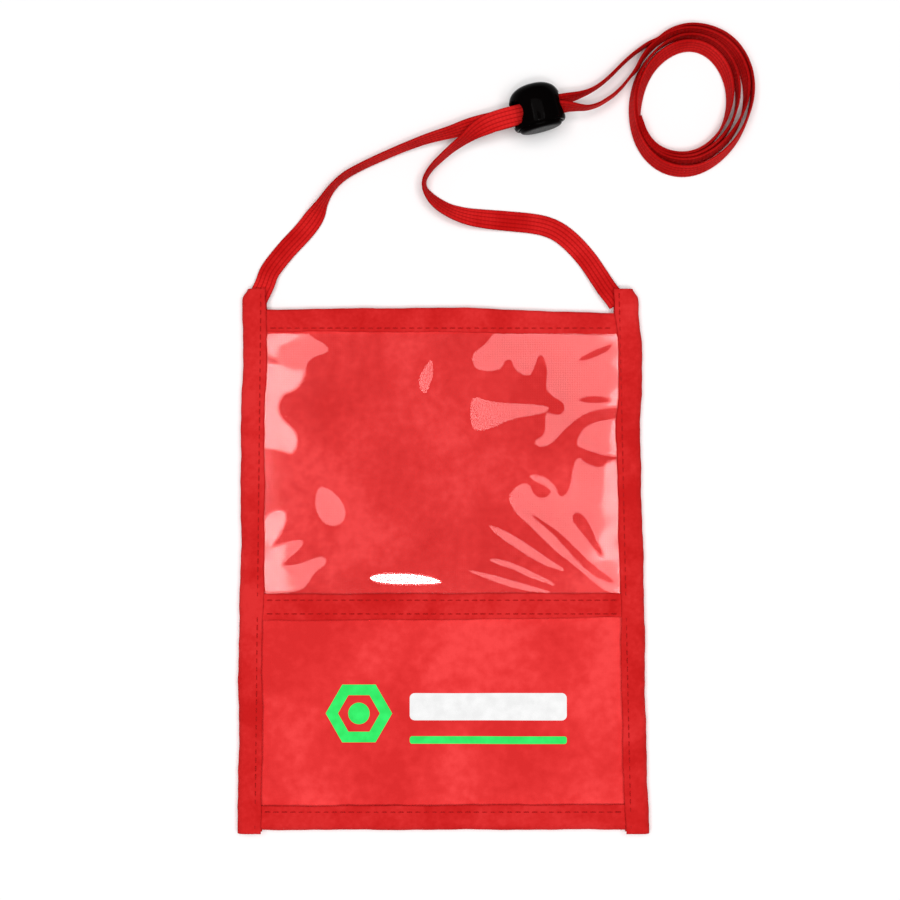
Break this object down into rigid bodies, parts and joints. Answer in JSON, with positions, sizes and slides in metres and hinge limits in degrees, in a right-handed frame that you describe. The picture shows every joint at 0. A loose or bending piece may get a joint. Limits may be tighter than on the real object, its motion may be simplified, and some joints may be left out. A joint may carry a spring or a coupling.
{
  "type": "lanyard badge holder",
  "caption": "Fabric neck wallet with a clear vinyl badge window, bound and stitched edges, a flat neck strap and a spring cord lock, lying face up with its spare strap coiled.",
  "frame": {"origin": "middle of the wallet's rear face, without the strap and lock, on the surface it lies on", "axes": "+X across the wallet to its right, +Y up the wallet towards the strap, +Z out of its face"},
  "size_m": [0.1633, 0.2555, 0.0169],
  "materials": {
    "cloth": "woven polyester with a slight sheen",
    "tape": "folded binding tape",
    "thread": "sewing thread",
    "vinyl": "clear glossy vinyl sheet",
    "strap": "ribbed woven tape",
    "lock": "glossy black moulding",
    "spring": "spring wire"
  },
  "bodies": {
    "wallet": {"back_panel": "cloth", "front_panel": "cloth", "vinyl_window": "vinyl", "middle_tape": "tape", "front_top_hem": "tape", "back_top_hem": "tape", "bottom_binding": "tape", "left_binding": "tape", "right_binding": "tape", "left_stitching": "thread", "right_stitching": "thread", "top_hem_stitching": "thread", "middle_upper_stitching": "thread", "middle_lower_stitching": "thread", "bottom_stitching": "thread", "strap_left_leg": "strap", "strap_right_leg": "strap", "strap_coil": "strap"},
    "lock": {"lock_barrel": "lock", "lock_spring": "spring"},
    "button": {"lock_plunger": "lock"}
  },
  "joints": [
    {"name": "lock_slide", "type": "slide", "parent": "wallet", "child": "lock", "axis": [0.9681, 0.2504, 0], "range_m": [-0.006, 0]},
    {"name": "button_press", "type": "slide", "parent": "lock", "child": "button", "axis": [-0.2504, 0.9681, 0], "range_m": [0, 0.0012], "stiffness_N_per_m": 1500, "springref_m": -0.0015, "deforming": ["lock_spring"]}
  ]
}
